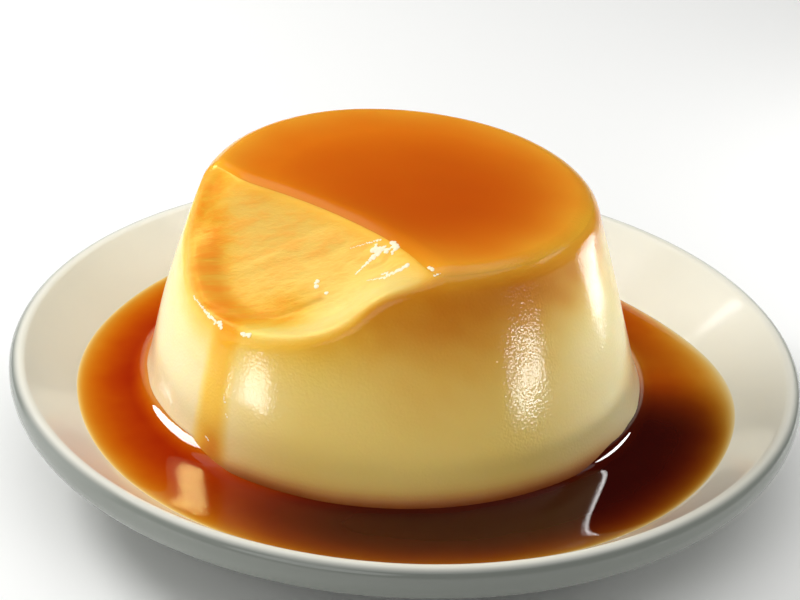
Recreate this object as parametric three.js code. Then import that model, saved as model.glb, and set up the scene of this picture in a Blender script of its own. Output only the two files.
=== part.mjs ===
// A creme caramel turned out on its saucer, with a spoonful gone from its front left. The custard, the
// caramel-soaked layer on top of it, the pool of caramel round its foot and the saucer are four solids.
// Millimetres, +Z up. The origin is on the table, in the middle of the saucer's foot.
import * as THREE from 'three';

// Saucer: a thick coupe dish with a flat well, a straight sloping wall and a rounded lip.
const SAUCER_RADIUS = 70;
const LIP_HEIGHT = 19.2;
const LIP_ROUND = 1.8;
const FLANK_ROUND = 5;
const FLANK_MEETS_LIP = THREE.MathUtils.degToRad(10);
const WALL_SLOPE = THREE.MathUtils.degToRad(38);
const WELL_RADIUS = 46.5;
const WELL_FLOOR = 7.5;
const UNDERSIDE_HEIGHT = 3.4;
const UNDERSIDE_SLOPE = THREE.MathUtils.degToRad(30);
const FOOT_INNER_RADIUS = 38.4;
const FOOT_OUTER_RADIUS = 42;
const FOOT_CHAMFER = 0.6;
const FOOT_DRAFT = 0.3;
const FOOT_FILLET_WIDTH = 1.4;
const FOOT_FILLET_HEIGHT = 1;
const SLOPE_EASE = 1.4;
const SAUCER_COLUMNS = 64;

// Pieces that touch keep this gap.
const GAP = 0.3;

// Custard: a tapered pudding, a little off the saucer's middle, that sags and leans as it stands.
const FLAN_X = -1.9;
const FLAN_Y = 3.7;
const FLAN_BASE = WELL_FLOOR + GAP;
const FLAN_TOP = 50.15;
const BASE_RADIUS = 44.85;
const TOP_RADIUS = 33.8;
const BELLY = 0.71;
const FOOT_SWELL = 0.45;
const FOOT_SWELL_HEIGHT = 2.5;
const TOP_ROUND = 3.3;
const BASE_ROUND = 4;
const TOP_FALL_X = -0.028;
const TOP_FALL_Y = -0.011;
const LEAN = -0.95;
const LEAN_BOW = -0.55;
const OUTLINE_WAVES = [
  { lobes: 2, height: 0.22, phase: 0.6 },
  { lobes: 3, height: 0.12, phase: 2.1 },
  { lobes: 5, height: 0.07, phase: 4.0 },
];

// Caramel-soaked layer: the top of the same body, sliced off level with its tilt.
const CARAMEL_DEPTH = 0.9;
const LAYER_EDGE_INSET = 0.15;
// A place inside the layer, well away from the cut.
const LAYER_MIDDLE_X = 7;
const LAYER_MIDDLE_Y = 8;

// The spoon's cut: an ellipsoid whose long axis rises to the right, placed from the custard's axis.
const SCOOP_CENTRE = new THREE.Vector3(-21.2, -25.4, 57.3);
const SCOOP_RADII = new THREE.Vector3(51.3, 30, 16.5);
const SCOOP_YAW = THREE.MathUtils.degToRad(-17.1);
const SCOOP_RISE = THREE.MathUtils.degToRad(-17.3);
const SCOOP_ROLL = THREE.MathUtils.degToRad(34.4);
const SCOOP_ARRIS = 1.2;
// Where the spoon pressed deeper, or less deep, than the plain ellipsoid.
const SCOOP_TOUCHES = [
  { at: new THREE.Vector3(-36.8, -2.6, 41.2), depth: 2.2, spread: 6 },
  { at: new THREE.Vector3(-33.6, 2.2, 49.6), depth: 2.3, spread: 5 },
  { at: new THREE.Vector3(-2.5, -35.4, 45.9), depth: -2.25, spread: 7 },
];
// The shallow trough just behind the front lip of the cut.
const TROUGH_DEPTH = 0.9;
const TROUGH_FROM_WALL = 5.5;
const TROUGH_WIDTH = 2.6;
const TROUGH_BEARING = THREE.MathUtils.degToRad(-132);
const TROUGH_HALF_ARC = THREE.MathUtils.degToRad(32);

// The custard's columns and rings stand close together across the cut and wide apart elsewhere.
const CUT_FROM = 165;
const CUT_TO = 290;
const CUT_STEP = 2.5;
const PLAIN_STEP = 6.25;
const CUT_DEPTH = 17;
const LOW_WALL_BANDS = 5;
const CUT_WALL_BANDS = 8;
const UNDERSIDE_RING = 0.55;
const UPPER_FACE_RINGS = [1, 0.86, 0.71, 0.56, 0.4, 0.2];
const LAYER_UNDERSIDE_RINGS = [0.5, 0.85];
const LAYER_FACE_RINGS = [0.93, 0.78, 0.5];
const HALVINGS = 40;

// Pool: runny caramel, level but where it climbs the custard and the saucer's wall.
const POOL_LEVEL = 11.8;
const CLIMB = 1;
const CLIMB_REACH = 1.2;
const CLIMB_OFFSETS = [0, 0.6, 1.5, 3.4];
const POOL_COLUMNS = 64;
const BED_BANDS = 6;
const SIDE_BANDS = 4;
const EDGE_CLIMB = 0.45;
const EDGE_WIDTH = 2.5;
const EDGE_START_RISE = 0.2;
const EDGE_WAVES = [
  { lobes: 1, height: 0.3, phase: 2 },
  { lobes: 3, height: 0.12, phase: 0.4 },
  { lobes: 8, height: 0.08, phase: 1.9 },
];
// At the back right the pool hasn't run as far up the wall.
const RETREAT = 1.9;
const RETREAT_BEARING = THREE.MathUtils.degToRad(42);
const RETREAT_HALF_ARC = THREE.MathUtils.degToRad(36);

const LIP_CENTRE = new THREE.Vector2(
  SAUCER_RADIUS - FLANK_ROUND + (FLANK_ROUND - LIP_ROUND) * Math.cos(FLANK_MEETS_LIP),
  LIP_HEIGHT - LIP_ROUND,
);
const WALL_TOP = LIP_CENTRE.clone().add(
  new THREE.Vector2(-Math.sin(WALL_SLOPE), Math.cos(WALL_SLOPE)).multiplyScalar(LIP_ROUND),
);
// The cove is the arc that is tangent to both the well's floor and the sloping wall.
const COVE_ROUND = ((WALL_TOP.x - WELL_RADIUS) * Math.tan(WALL_SLOPE) - (WALL_TOP.y - WELL_FLOOR))
  / (1 / Math.cos(WALL_SLOPE) - 1);
const COVE_END = WELL_RADIUS + COVE_ROUND * Math.sin(WALL_SLOPE);

// The height of the saucer's upper face at a distance from its axis.
function wellHeight(radius) {
  if (radius <= WELL_RADIUS) {
    return WELL_FLOOR;
  }
  if (radius <= COVE_END) {
    return WELL_FLOOR + COVE_ROUND - Math.sqrt(COVE_ROUND ** 2 - (radius - WELL_RADIUS) ** 2);
  }
  return WALL_TOP.y - (WALL_TOP.x - radius) * Math.tan(WALL_SLOPE);
}

function evenSteps(from, to, steps) {
  return Array.from({ length: steps + 1 }, (_, step) => from + ((to - from) * step) / steps);
}

function onCircle(centreX, centreY, radius, angle) {
  return new THREE.Vector2(centreX + radius * Math.cos(angle), centreY + radius * Math.sin(angle));
}

function arc(centreX, centreY, radius, from, to, steps) {
  return evenSteps(from, to, steps).map((angle) => onCircle(centreX, centreY, radius, angle));
}

function saucerGeometry() {
  const flankX = SAUCER_RADIUS - FLANK_ROUND;
  const flankY = LIP_CENTRE.y - (FLANK_ROUND - LIP_ROUND) * Math.sin(FLANK_MEETS_LIP);
  const underFlank = UNDERSIDE_SLOPE - Math.PI / 2;
  const slopeTop = onCircle(flankX, flankY, FLANK_ROUND, underFlank);
  const slopeFoot = slopeTop.x - (slopeTop.y - UNDERSIDE_HEIGHT) / Math.tan(UNDERSIDE_SLOPE);
  const profile = [
    new THREE.Vector2(0, UNDERSIDE_HEIGHT),
    new THREE.Vector2(FOOT_INNER_RADIUS - FOOT_FILLET_WIDTH, UNDERSIDE_HEIGHT),
    new THREE.Vector2(FOOT_INNER_RADIUS - FOOT_DRAFT, UNDERSIDE_HEIGHT - FOOT_FILLET_HEIGHT),
    new THREE.Vector2(FOOT_INNER_RADIUS, FOOT_CHAMFER),
    new THREE.Vector2(FOOT_INNER_RADIUS + FOOT_CHAMFER, 0),
    new THREE.Vector2(FOOT_OUTER_RADIUS - FOOT_CHAMFER, 0),
    new THREE.Vector2(FOOT_OUTER_RADIUS, FOOT_CHAMFER),
    new THREE.Vector2(FOOT_OUTER_RADIUS + FOOT_DRAFT, UNDERSIDE_HEIGHT - FOOT_FILLET_HEIGHT),
    new THREE.Vector2(FOOT_OUTER_RADIUS + FOOT_FILLET_WIDTH, UNDERSIDE_HEIGHT),
    new THREE.Vector2(slopeFoot - SLOPE_EASE, UNDERSIDE_HEIGHT),
    new THREE.Vector2(slopeFoot + SLOPE_EASE, UNDERSIDE_HEIGHT + SLOPE_EASE * Math.tan(UNDERSIDE_SLOPE)),
    ...arc(flankX, flankY, FLANK_ROUND, underFlank, FLANK_MEETS_LIP, 5),
    ...arc(LIP_CENTRE.x, LIP_CENTRE.y, LIP_ROUND, FLANK_MEETS_LIP, WALL_SLOPE + Math.PI / 2, 6).slice(1),
    ...arc(WELL_RADIUS, WELL_FLOOR + COVE_ROUND, COVE_ROUND, WALL_SLOPE - Math.PI / 2, -Math.PI / 2, 6),
    new THREE.Vector2(0, WELL_FLOOR),
  ];
  const geometry = new THREE.LatheGeometry(profile, SAUCER_COLUMNS);
  geometry.rotateX(Math.PI / 2);
  return geometry;
}

// The larger of two distances, with the edge where they meet rounded to a radius.
function roundedMax(a, b, radius) {
  return Math.min(-radius, Math.max(a, b)) + Math.hypot(Math.max(a + radius, 0), Math.max(b + radius, 0));
}

function waves(list, angle) {
  return list.reduce((sum, wave) => sum + wave.height * Math.sin(wave.lobes * angle + wave.phase), 0);
}

function topHeight(x, y) {
  return FLAN_TOP + TOP_FALL_X * x + TOP_FALL_Y * y;
}

function riseOf(z) {
  return THREE.MathUtils.clamp((z - FLAN_BASE) / (FLAN_TOP - FLAN_BASE), 0, 1);
}

// How far the leaning pudding's middle stands from its foot's, along X, at a height.
function axisShift(z) {
  return LEAN * riseOf(z) + LEAN_BOW * Math.sin(Math.PI * riseOf(z));
}

function wallRadius(z, angle) {
  const rise = riseOf(z);
  const taper = THREE.MathUtils.lerp(BASE_RADIUS, TOP_RADIUS, rise);
  const belly = BELLY * Math.sin(Math.PI * rise);
  const swell = FOOT_SWELL * Math.exp(-(((z - POOL_LEVEL) / FOOT_SWELL_HEIGHT) ** 2));
  return taper + belly + swell + waves(OUTLINE_WAVES, angle);
}

// Signed distance to the uncut pudding, negative inside, from a point given from its own axis.
function flanDistance(point) {
  const taper = Math.cos(Math.atan((BASE_RADIUS - TOP_RADIUS) / (FLAN_TOP - FLAN_BASE)));
  const fromAxis = point.x - axisShift(point.z);
  const angle = Math.atan2(point.y, fromAxis);
  const side = (Math.hypot(fromAxis, point.y) - wallRadius(point.z, angle)) * taper;
  const above = point.z - topHeight(point.x, point.y);
  return roundedMax(roundedMax(side, above, TOP_ROUND), FLAN_BASE - point.z, BASE_ROUND);
}

const TO_SCOOP = new THREE.Matrix4()
  .makeRotationFromEuler(new THREE.Euler(SCOOP_ROLL, SCOOP_RISE, SCOOP_YAW, 'ZYX'))
  .setPosition(SCOOP_CENTRE)
  .invert();

function troughDepth(point) {
  const fromAxis = point.x - axisShift(point.z);
  const bearing = Math.atan2(point.y, fromAxis);
  const fromWall = wallRadius(point.z, bearing) - Math.hypot(fromAxis, point.y);
  const across = Math.exp(-(((fromWall - TROUGH_FROM_WALL) / TROUGH_WIDTH) ** 2));
  const along = Math.exp(-(((bearing - TROUGH_BEARING) / TROUGH_HALF_ARC) ** 4));
  return TROUGH_DEPTH * across * along;
}

// Signed distance to the space that the spoon cut out, negative inside it.
function scoopDistance(point) {
  const local = point.clone().applyMatrix4(TO_SCOOP).divide(SCOOP_RADII);
  const reach = local.length();
  const steepness = local.clone().divide(SCOOP_RADII).length() / reach;
  const pressed = SCOOP_TOUCHES.reduce((sum, touch) => {
    const nearness = Math.exp(-((point.distanceTo(touch.at) / touch.spread) ** 2));
    return sum + touch.depth * nearness;
  }, 0);
  return (reach - 1) / steepness - pressed - troughDepth(point);
}

function bittenDistance(point) {
  return roundedMax(flanDistance(point), -scoopDistance(point), SCOOP_ARRIS);
}

function custardDistance(point) {
  const underLayer = topHeight(point.x, point.y) - CARAMEL_DEPTH - GAP;
  return Math.max(bittenDistance(point), point.z - underLayer);
}

function caramelTopDistance(point) {
  const layerFoot = topHeight(point.x, point.y) - CARAMEL_DEPTH;
  return Math.max(bittenDistance(point), layerFoot - point.z);
}

// Where the ray from an inner point towards a target leaves the solid.
function leavePoint(distance, inner, target) {
  const direction = target.clone().sub(inner).normalize();
  let inside = 0;
  let outside = 2 * BASE_RADIUS;
  for (let halving = 0; halving < HALVINGS; halving += 1) {
    const middle = (inside + outside) / 2;
    if (distance(inner.clone().addScaledVector(direction, middle)) < 0) {
      inside = middle;
    } else {
      outside = middle;
    }
  }
  return inner.clone().addScaledVector(direction, inside);
}

// A closed mesh over rings of points. The rings join end to end, or else the first and last are poles.
function skinGeometry(rings, joined) {
  const positions = [];
  const starts = rings.map((ring) => {
    const start = positions.length / 3;
    ring.forEach((point) => positions.push(point.x, point.y, point.z));
    return start;
  });
  const index = [];
  const count = Math.max(...rings.map((ring) => ring.length));
  const bands = joined ? rings.length : rings.length - 1;
  for (let band = 0; band < bands; band += 1) {
    const above = (band + 1) % rings.length;
    for (let column = 0; column < count; column += 1) {
      const next = (column + 1) % count;
      const [a, b] = [column, next].map((at) => starts[band] + (rings[band].length > 1 ? at : 0));
      const [d, c] = [column, next].map((at) => starts[above] + (rings[above].length > 1 ? at : 0));
      if (a !== b) {
        index.push(a, b, c);
      }
      if (c !== d) {
        index.push(a, c, d);
      }
    }
  }
  const geometry = new THREE.BufferGeometry();
  geometry.setAttribute('position', new THREE.Float32BufferAttribute(positions, 3));
  geometry.setIndex(index);
  geometry.computeVertexNormals();
  return geometry;
}

function columnAngles() {
  const degrees = [];
  for (let angle = CUT_FROM; angle < CUT_TO; angle += CUT_STEP) {
    degrees.push(angle);
  }
  const plainArc = 360 - (CUT_TO - CUT_FROM);
  const plainCount = Math.round(plainArc / PLAIN_STEP);
  for (let column = 0; column < plainCount; column += 1) {
    degrees.push(CUT_TO + (plainArc * column) / plainCount);
  }
  return degrees.map(THREE.MathUtils.degToRad);
}

// Turns a half outline of the uncut body round its axis, and draws each point in to the solid's face.
function castGeometry(distance, inner, outline) {
  const angles = columnAngles();
  const rings = outline.map((point) => {
    const ringAngles = point.x === 0 ? [0] : angles;
    return ringAngles.map((angle) => {
      const target = new THREE.Vector3(point.x * Math.cos(angle), point.x * Math.sin(angle), point.y);
      return leavePoint(distance, inner, target);
    });
  });
  const geometry = skinGeometry(rings, false);
  geometry.translate(FLAN_X, FLAN_Y, 0);
  return geometry;
}

function custardGeometry() {
  const wallFoot = FLAN_BASE + BASE_ROUND;
  const baseArcX = wallRadius(wallFoot, 0) - BASE_ROUND;
  const shoulder = FLAN_TOP - CARAMEL_DEPTH - GAP;
  const shoulderRadius = wallRadius(shoulder, 0);
  const lowWall = evenSteps(wallFoot, FLAN_TOP - CUT_DEPTH, LOW_WALL_BANDS).slice(1);
  const cutWall = evenSteps(FLAN_TOP - CUT_DEPTH, shoulder, CUT_WALL_BANDS).slice(1, -1);
  const outline = [
    new THREE.Vector2(0, FLAN_BASE),
    new THREE.Vector2(baseArcX * UNDERSIDE_RING, FLAN_BASE),
    ...arc(baseArcX, wallFoot, BASE_ROUND, -Math.PI / 2, 0, 4),
    ...[...lowWall, ...cutWall].map((z) => new THREE.Vector2(wallRadius(z, 0), z)),
    ...UPPER_FACE_RINGS.map((part) => new THREE.Vector2(shoulderRadius * part, shoulder)),
    new THREE.Vector2(0, shoulder),
  ];
  return castGeometry(custardDistance, new THREE.Vector3(0, 0, FLAN_TOP / 2), outline);
}

function caramelTopGeometry() {
  const layerFoot = FLAN_TOP - CARAMEL_DEPTH;
  const edgeRadius = wallRadius(layerFoot, 0);
  const edge = evenSteps(layerFoot + LAYER_EDGE_INSET, FLAN_TOP - LAYER_EDGE_INSET, 3);
  const outline = [
    new THREE.Vector2(0, layerFoot),
    ...LAYER_UNDERSIDE_RINGS.map((part) => new THREE.Vector2(edgeRadius * part, layerFoot)),
    ...edge.map((z) => new THREE.Vector2(edgeRadius, z)),
    ...LAYER_FACE_RINGS.map((part) => new THREE.Vector2(edgeRadius * part, FLAN_TOP)),
    new THREE.Vector2(0, FLAN_TOP),
  ];
  const inner = new THREE.Vector3(LAYER_MIDDLE_X, LAYER_MIDDLE_Y, 0);
  inner.z = topHeight(inner.x, inner.y) - CARAMEL_DEPTH / 2;
  return castGeometry(caramelTopDistance, inner, outline);
}

// The first distance from the custard's axis, along an angle, at which a test holds.
function findRadius(angle, from, to, holds) {
  let near = from;
  let far = to;
  for (let halving = 0; halving < HALVINGS; halving += 1) {
    const middle = (near + far) / 2;
    if (holds(middle * Math.cos(angle), middle * Math.sin(angle))) {
      far = middle;
    } else {
      near = middle;
    }
  }
  return far;
}

// How high the pool's outer edge stands, at a bearing from the saucer's axis.
function edgeLevel(bearing) {
  const retreat = RETREAT * Math.exp(-(((bearing - RETREAT_BEARING) / RETREAT_HALF_ARC) ** 2));
  return POOL_LEVEL + EDGE_CLIMB + waves(EDGE_WAVES, bearing) - retreat;
}

// One section of the pool, from the custard out to the saucer's wall, anticlockwise.
function poolSection(angle) {
  const bed = (x, y) => wellHeight(Math.hypot(x + FLAN_X, y + FLAN_Y)) + GAP;
  const level = (x, y) => edgeLevel(Math.atan2(y + FLAN_Y, x + FLAN_X));
  const edge = findRadius(angle, BASE_RADIUS, SAUCER_RADIUS, (x, y) => bed(x, y) > level(x, y));
  const custardSide = (z) => findRadius(angle, BASE_RADIUS - 2 * BASE_ROUND, SAUCER_RADIUS, (x, y) => (
    flanDistance(new THREE.Vector3(x, y, z)) > GAP
  ));
  const at = (radius, z) => new THREE.Vector3(radius * Math.cos(angle), radius * Math.sin(angle), z);
  const onBed = (radius) => at(radius, bed(radius * Math.cos(angle), radius * Math.sin(angle)));
  const inner = custardSide(POOL_LEVEL + CLIMB);
  const climbing = CLIMB_OFFSETS.map((offset) => (
    at(inner + offset, POOL_LEVEL + CLIMB * Math.exp(-offset / CLIMB_REACH))
  ));
  return [
    ...evenSteps(custardSide(FLAN_BASE), edge, BED_BANDS).map(onBed),
    at(edge - EDGE_WIDTH, THREE.MathUtils.lerp(POOL_LEVEL, onBed(edge).z, EDGE_START_RISE)),
    ...climbing.reverse(),
    ...evenSteps(POOL_LEVEL, FLAN_BASE, SIDE_BANDS).slice(0, -1).map((z) => at(custardSide(z), z)),
  ];
}

function poolGeometry() {
  const sections = evenSteps(0, 2 * Math.PI, POOL_COLUMNS).slice(0, -1).map(poolSection);
  const rings = sections[0].map((_, place) => sections.map((section) => section[place]));
  const geometry = skinGeometry(rings, true);
  geometry.translate(FLAN_X, FLAN_Y, 0);
  return geometry;
}

function piece(name, geometry, color, roughness) {
  const mesh = new THREE.Mesh(geometry, new THREE.MeshStandardMaterial({ color, roughness, metalness: 0 }));
  mesh.name = name;
  return mesh;
}

const cremeCaramel = new THREE.Group();
cremeCaramel.add(
  piece('saucer', saucerGeometry(), 0xe8e3d4, 0.15),
  piece('custard', custardGeometry(), 0xecd089, 0.35),
  piece('caramel_top', caramelTopGeometry(), 0xc85a0e, 0.25),
  piece('caramel_pool', poolGeometry(), 0x6e1d05, 0.08),
);

export default cremeCaramel;
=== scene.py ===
import math

import bpy
import numpy as np
from mathutils import Matrix, Quaternion, Vector


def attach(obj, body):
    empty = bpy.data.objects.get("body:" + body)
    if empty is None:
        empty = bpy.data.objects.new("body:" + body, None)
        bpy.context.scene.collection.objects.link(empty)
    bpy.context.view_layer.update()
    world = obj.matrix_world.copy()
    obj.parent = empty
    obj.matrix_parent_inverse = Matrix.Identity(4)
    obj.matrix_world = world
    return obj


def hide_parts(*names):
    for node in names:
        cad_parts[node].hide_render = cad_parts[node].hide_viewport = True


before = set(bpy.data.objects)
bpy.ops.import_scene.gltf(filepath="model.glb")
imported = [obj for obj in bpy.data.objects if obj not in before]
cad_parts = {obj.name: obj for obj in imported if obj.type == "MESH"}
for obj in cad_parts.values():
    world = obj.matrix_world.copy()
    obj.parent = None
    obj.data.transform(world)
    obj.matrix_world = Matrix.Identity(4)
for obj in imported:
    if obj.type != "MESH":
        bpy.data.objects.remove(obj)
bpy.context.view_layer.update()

# ---------------------------------------------------------------------------------------------- Saucer
# A thick coupe saucer of vitrified stoneware, turned in one piece and glazed cream-white inside. The grey of
# its outside is painted shade. The foot ring is wiped bare before the firing, so that it doesn't stick to
# the kiln shelf.
# Lengths are in millimetres, and become metres when a piece is made. Those times MM are in metres.
MM = 0.001
SAUCER_RADIUS = 70.0
LIP_HEIGHT = 19.2
LIP_ROUND = 1.8
FLANK_ROUND = 5.0
FLANK_MEETS_LIP = math.radians(10)
WALL_SLOPE = math.radians(38)
WELL_RADIUS = 46.5
WELL_FLOOR = 7.5
UNDERSIDE_HEIGHT = 3.4
UNDERSIDE_SLOPE = math.radians(30)
FOOT_INNER_RADIUS = 38.4
FOOT_OUTER_RADIUS = 42.0
FOOT_ROUND = 0.6
FOOT_FILLET = 1.3
SLOPE_EASE = 1.4
EASE_LIFT = 0.04
# How far in from the lip's round the straight wall starts, and how far in from the cove the flat floor.
WALL_START = 0.6
FLOOR_START = 2.0
# The glaze is wiped off the foot up to the first height, and is whole from the second.
WIPED_TO = 0.5
GLAZED_FROM = 1.1
# The outside's painted shade gives way to the inside's glaze between these rings of the lip's round.
LAST_OUTSIDE_RING = 5
FIRST_INSIDE_RING = 14
SAUCER_COLUMNS = 320
SHARP_OVER = math.radians(50)

LIP_X = SAUCER_RADIUS - FLANK_ROUND + (FLANK_ROUND - LIP_ROUND) * math.cos(FLANK_MEETS_LIP)
LIP_Z = LIP_HEIGHT - LIP_ROUND
WALL_TOP_X = LIP_X - LIP_ROUND * math.sin(WALL_SLOPE)
WALL_TOP_Z = LIP_Z + LIP_ROUND * math.cos(WALL_SLOPE)
COVE_ROUND = ((WALL_TOP_X - WELL_RADIUS) * math.tan(WALL_SLOPE) - (WALL_TOP_Z - WELL_FLOOR)) / (
    1 / math.cos(WALL_SLOPE) - 1
)
COVE_END = WELL_RADIUS + COVE_ROUND * math.sin(WALL_SLOPE)


def well_height(radius):
    """The height of the saucer's upper face at distances from its axis."""
    in_cove = np.clip(radius - WELL_RADIUS, 0, COVE_END - WELL_RADIUS)
    cove = WELL_FLOOR + COVE_ROUND - np.sqrt(COVE_ROUND**2 - in_cove**2)
    return cove + np.maximum(radius - COVE_END, 0) * math.tan(WALL_SLOPE)


def arc(centre_x, centre_z, radius, start, end, steps):
    """Points along an arc, with both its ends."""
    angles = np.linspace(start, end, steps + 1)
    return np.stack([centre_x + radius * np.cos(angles), centre_z + radius * np.sin(angles)], axis=1)


def line(start, end, steps):
    """Points from start to end, without end itself."""
    return np.linspace(start, end, steps, endpoint=False)


def turned(profile, angles):
    """Rings of points: a half outline turned round the axis. A point on the axis gives a ring of one."""
    rings = []
    for x, z in profile:
        around = angles[:1] if x < 1e-6 else angles
        rings.append(np.stack([x * np.cos(around), x * np.sin(around), np.full(len(around), z)], axis=1))
    return rings


def skin_faces(rings, joined, first):
    """Faces that join rings of points, from the lowest up and anticlockwise, so that they look outwards."""
    starts = first + np.cumsum([0] + [len(ring) for ring in rings])
    columns = np.arange(max(len(ring) for ring in rings))
    following = np.roll(columns, -1)
    faces = []
    for band in range(len(rings) if joined else len(rings) - 1):
        above = (band + 1) % len(rings)
        low, high = len(rings[band]) > 1, len(rings[above]) > 1
        a, b = starts[band] + columns * low, starts[band] + following * low
        d, c = starts[above] + columns * high, starts[above] + following * high
        corners = [a, b, c, d] if low and high else [a, b, c] if low else [a, c, d]
        faces += np.stack(corners, axis=1).tolist()
    return faces


def make_piece(name, skins, material, masks=None, joined=False):
    """Closed smooth skins over rings of points, with a named number at each point for the material."""
    points, faces = [], []
    for rings in skins:
        faces += skin_faces(rings, joined, len(points))
        points += np.concatenate(rings).tolist()
    mesh = bpy.data.meshes.new(name)
    mesh.from_pydata((np.array(points) * MM).tolist(), [], faces)
    mesh.shade_smooth()
    mesh.set_sharp_from_angle(angle=SHARP_OVER)
    for mask, values in (masks or {}).items():
        mesh.attributes.new(mask, "FLOAT", "POINT").data.foreach_set("value", values.astype(np.float32))
    mesh.materials.append(material)
    made = bpy.data.objects.new(name, mesh)
    bpy.context.scene.collection.objects.link(made)
    return made


def linear(colour):
    """A linear RGBA colour from an sRGB hex one."""
    parts = [int(colour[at:at + 2], 16) / 255 for at in (1, 3, 5)]
    return [part / 12.92 if part <= 0.04045 else ((part + 0.055) / 1.055) ** 2.4 for part in parts] + [1.0]


def add_node(tree, kind, inputs=None, **settings):
    """Adds a node. Each input is a socket, which is linked, or a value, which is set."""
    node = tree.nodes.new("ShaderNode" + kind)
    for setting, value in settings.items():
        setattr(node, setting, value)
    for key, value in (inputs or {}).items():
        if isinstance(value, bpy.types.NodeSocket):
            tree.links.new(value, node.inputs[key])
        else:
            node.inputs[key].default_value = value
    return node


def smoothstep(low, high, value):
    """0 at low and 1 at high, level outside them and eased between."""
    share = np.clip((value - low) / (high - low), 0, 1)
    return share * share * (3 - 2 * share)


def new_material(name, mask_names=()):
    """A material, its node tree and shader, the place in the piece, and the piece's masks by name."""
    material = bpy.data.materials.new(name)
    material.use_nodes = True
    tree = material.node_tree
    place = add_node(tree, "TexCoord").outputs["Object"]
    masks = {mask: add_node(tree, "Attribute", attribute_name=mask).outputs["Fac"] for mask in mask_names}
    return material, tree, tree.nodes["Principled BSDF"], place, masks


# Glazed stoneware, dipped and glost-fired: a hard mirror-like skin over an opaque cream body, whose
# reflections waver a little because the glaze flowed before it set.
GLAZE = linear("#F1F0E5")
GLAZE_THICK = linear("#EAE7D8")
# The outside's grey is painted shade.
GLAZE_PAINTED_SHADE_OUTSIDE = linear("#7D817A")
BARE_CLAY = linear("#CBBBA0")
GLAZE_IOR = 1.52
GLAZE_ROUGHNESS = 0.11
BARE_ROUGHNESS = 0.85
GLAZE_CLOUD = 22 * MM
GLAZE_PEEL = 3.5 * MM
GLAZE_PEEL_HEIGHT = 0.006 * MM
CLAY_GRAIN = 0.5 * MM
GRAIN_TO_PEEL = 4.0

glazed_stoneware, tree, shader, place, masks = new_material("glazed_stoneware_dipped", ("outside", "bare"))
cloud = add_node(tree, "TexNoise", {
    "Vector": place, "Scale": 1 / GLAZE_CLOUD, "Detail": 3.0,
}).outputs["Fac"]
colour = GLAZE
# The grey laid on the outside here is painted shade.
for share, laid in ((cloud, GLAZE_THICK), (masks["outside"], GLAZE_PAINTED_SHADE_OUTSIDE), (masks["bare"], BARE_CLAY)):
    colour = add_node(tree, "Mix", {
        "Factor": share, "A": colour, "B": laid,
    }, data_type="RGBA").outputs["Result"]
gloss = add_node(tree, "MapRange", {
    "Value": masks["bare"], "To Min": GLAZE_ROUGHNESS, "To Max": BARE_ROUGHNESS,
}).outputs["Result"]
peel = add_node(tree, "TexNoise", {"Vector": place, "Scale": 1 / GLAZE_PEEL, "Detail": 1.0}).outputs["Fac"]
grain = add_node(tree, "TexNoise", {"Vector": place, "Scale": 1 / CLAY_GRAIN, "Detail": 2.0}).outputs["Fac"]
bare_grain = add_node(tree, "Math", {0: grain, 1: masks["bare"]}, operation="MULTIPLY").outputs[0]
relief = add_node(tree, "Math", {
    0: bare_grain, 1: GRAIN_TO_PEEL, 2: peel,
}, operation="MULTIPLY_ADD").outputs[0]
dimples = add_node(tree, "Bump", {"Height": relief, "Distance": GLAZE_PEEL_HEIGHT})
tree.links.new(colour, shader.inputs["Base Color"])
tree.links.new(gloss, shader.inputs["Roughness"])
tree.links.new(dimples.outputs["Normal"], shader.inputs["Normal"])
shader.inputs["IOR"].default_value = GLAZE_IOR

flank_x = SAUCER_RADIUS - FLANK_ROUND
flank_z = LIP_Z - (FLANK_ROUND - LIP_ROUND) * math.sin(FLANK_MEETS_LIP)
under_flank = UNDERSIDE_SLOPE - math.pi / 2
slope_top_x = flank_x + FLANK_ROUND * math.cos(under_flank)
slope_top_z = flank_z + FLANK_ROUND * math.sin(under_flank)
slope_foot = slope_top_x - (slope_top_z - UNDERSIDE_HEIGHT) / math.tan(UNDERSIDE_SLOPE)
eased_z = UNDERSIDE_HEIGHT + SLOPE_EASE * math.tan(UNDERSIDE_SLOPE)
eased_foot = (slope_foot, UNDERSIDE_HEIGHT + eased_z * EASE_LIFT)
fillet_z = UNDERSIDE_HEIGHT - FOOT_FILLET
wall_start = (WALL_TOP_X - WALL_START, WALL_TOP_Z - WALL_START * math.tan(WALL_SLOPE))
profile = np.concatenate([
    line((0, UNDERSIDE_HEIGHT), (FOOT_INNER_RADIUS - FOOT_FILLET, UNDERSIDE_HEIGHT), 6),
    arc(FOOT_INNER_RADIUS - FOOT_FILLET, fillet_z, FOOT_FILLET, math.pi / 2, 0, 6),
    arc(FOOT_INNER_RADIUS + FOOT_ROUND, FOOT_ROUND, FOOT_ROUND, math.pi, math.pi * 1.5, 5),
    arc(FOOT_OUTER_RADIUS - FOOT_ROUND, FOOT_ROUND, FOOT_ROUND, -math.pi / 2, 0, 5),
    arc(FOOT_OUTER_RADIUS + FOOT_FILLET, fillet_z, FOOT_FILLET, math.pi, math.pi / 2, 6),
    line((slope_foot - SLOPE_EASE, UNDERSIDE_HEIGHT), eased_foot, 2),
    line((slope_foot + SLOPE_EASE, eased_z), (slope_top_x, slope_top_z), 8),
    arc(flank_x, flank_z, FLANK_ROUND, under_flank, FLANK_MEETS_LIP, 20)[:-1],
])
lip_ring = len(profile)
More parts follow.
